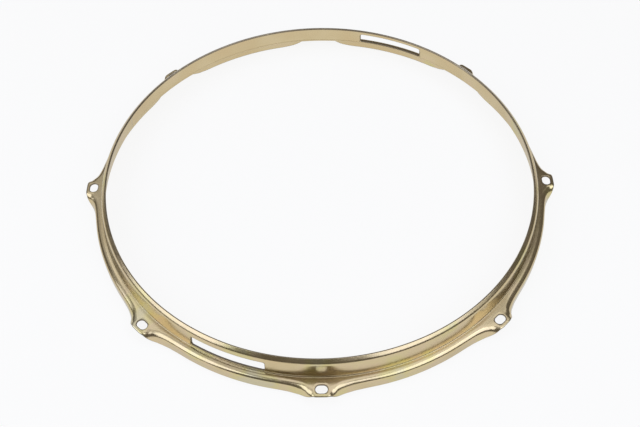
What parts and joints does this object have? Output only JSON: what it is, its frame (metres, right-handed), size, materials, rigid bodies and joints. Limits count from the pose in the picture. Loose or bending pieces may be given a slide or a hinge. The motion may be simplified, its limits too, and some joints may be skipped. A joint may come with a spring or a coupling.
{
  "type": "drum hoop",
  "caption": "Round pressed-metal drum hoop with a lip turned inward, a skirt that opens out into flat ears for tension rods, and slots for snare straps.",
  "frame": {"origin": "on the hoop's axis, in the plane of the skirt's lower edge", "axes": "+Z along the axis, from the skirt up to the lip; +X through the middle of an ear"},
  "size_m": [0.3932, 0.3932, 0.0292],
  "materials": {
    "brass": "satin",
    "weld": "satin"
  },
  "bodies": {
    "root": {"hoop_strip": "brass", "weld_seam": "weld"}
  },
  "joints": []
}
